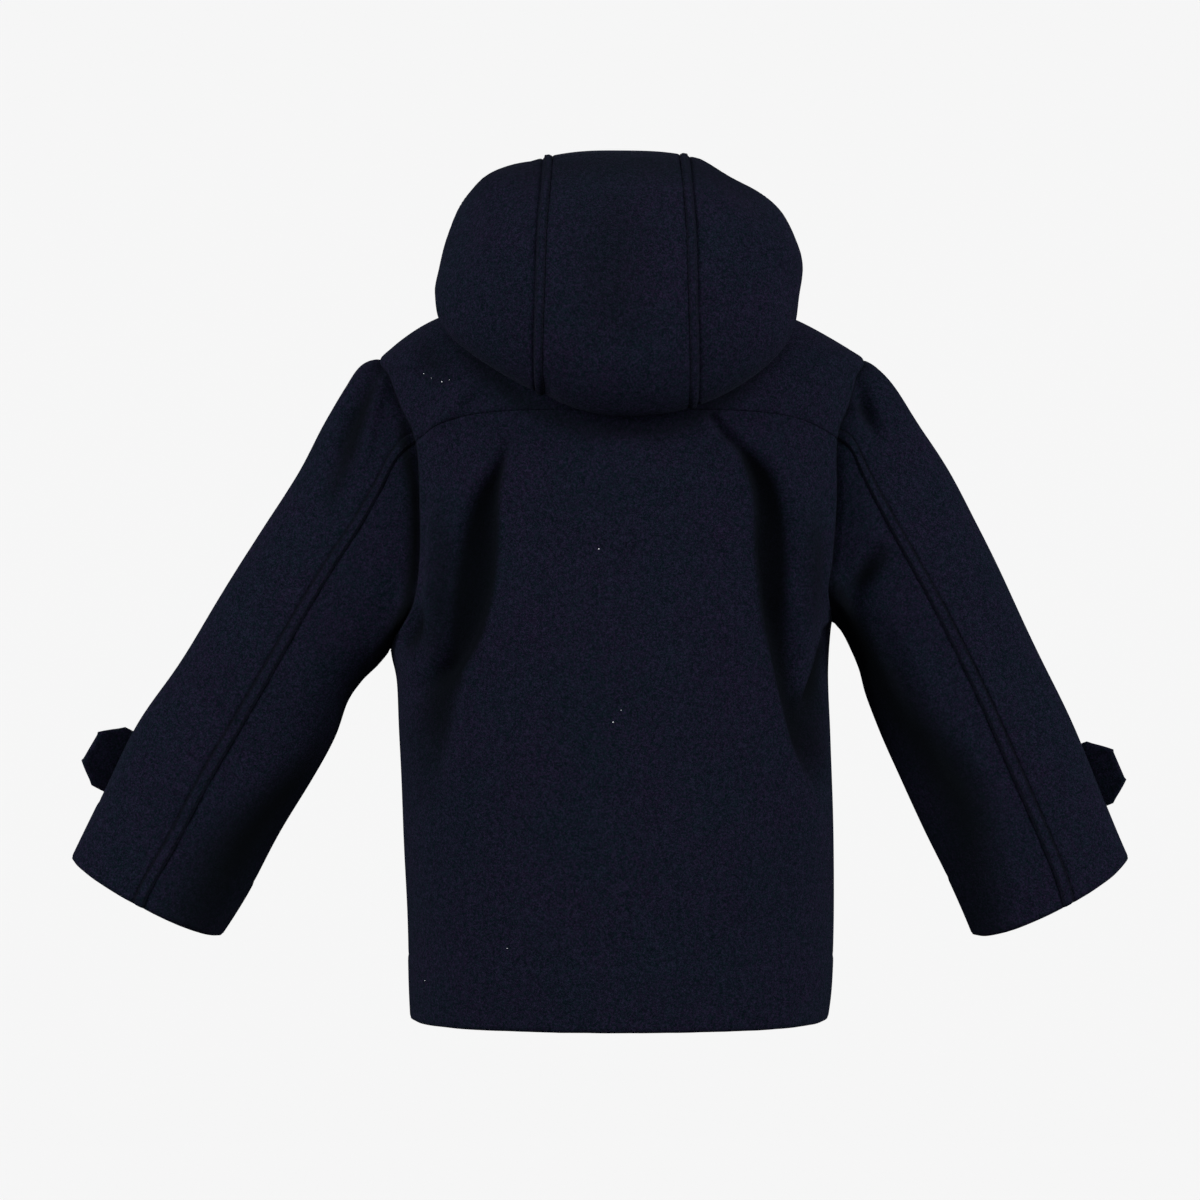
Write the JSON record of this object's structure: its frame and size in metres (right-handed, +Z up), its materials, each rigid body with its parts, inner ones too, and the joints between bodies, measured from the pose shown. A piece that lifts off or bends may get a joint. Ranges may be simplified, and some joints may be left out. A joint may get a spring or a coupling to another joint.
{
  "type": "child's hooded wool coat",
  "caption": "Hollow hooded wool coat with a back yoke, two-piece sleeves, cuff tabs, a three-panel hood that lies back and a lapped, buttoned front.",
  "frame": {"origin": "middle of the neck, where the wearer's neck and shoulders hold the coat up", "axes": "+Z up; the back faces -Y and the buttoned front +Y; -X is the wearer's left, where the left sleeve is"},
  "size_m": [0.7426, 0.2354, 0.6004],
  "materials": {
    "navy_wool": "dark navy felted wool, matte and slightly fuzzy",
    "dark_button": "dark navy, satin"
  },
  "bodies": {
    "root": {"back_body": "navy_wool", "back_yoke": "navy_wool", "front_left": "navy_wool", "front_right": "navy_wool", "sleeve_upper_left": "navy_wool", "sleeve_upper_right": "navy_wool", "sleeve_under_left": "navy_wool", "sleeve_under_right": "navy_wool", "hood_centre": "navy_wool", "hood_side_left": "navy_wool", "hood_side_right": "navy_wool", "cuff_tab_left": "navy_wool", "cuff_tab_right": "navy_wool", "cuff_button_left": "dark_button", "cuff_button_right": "dark_button", "front_button_1": "dark_button", "front_button_2": "dark_button", "front_button_3": "dark_button", "front_button_4": "dark_button"}
  },
  "joints": []
}
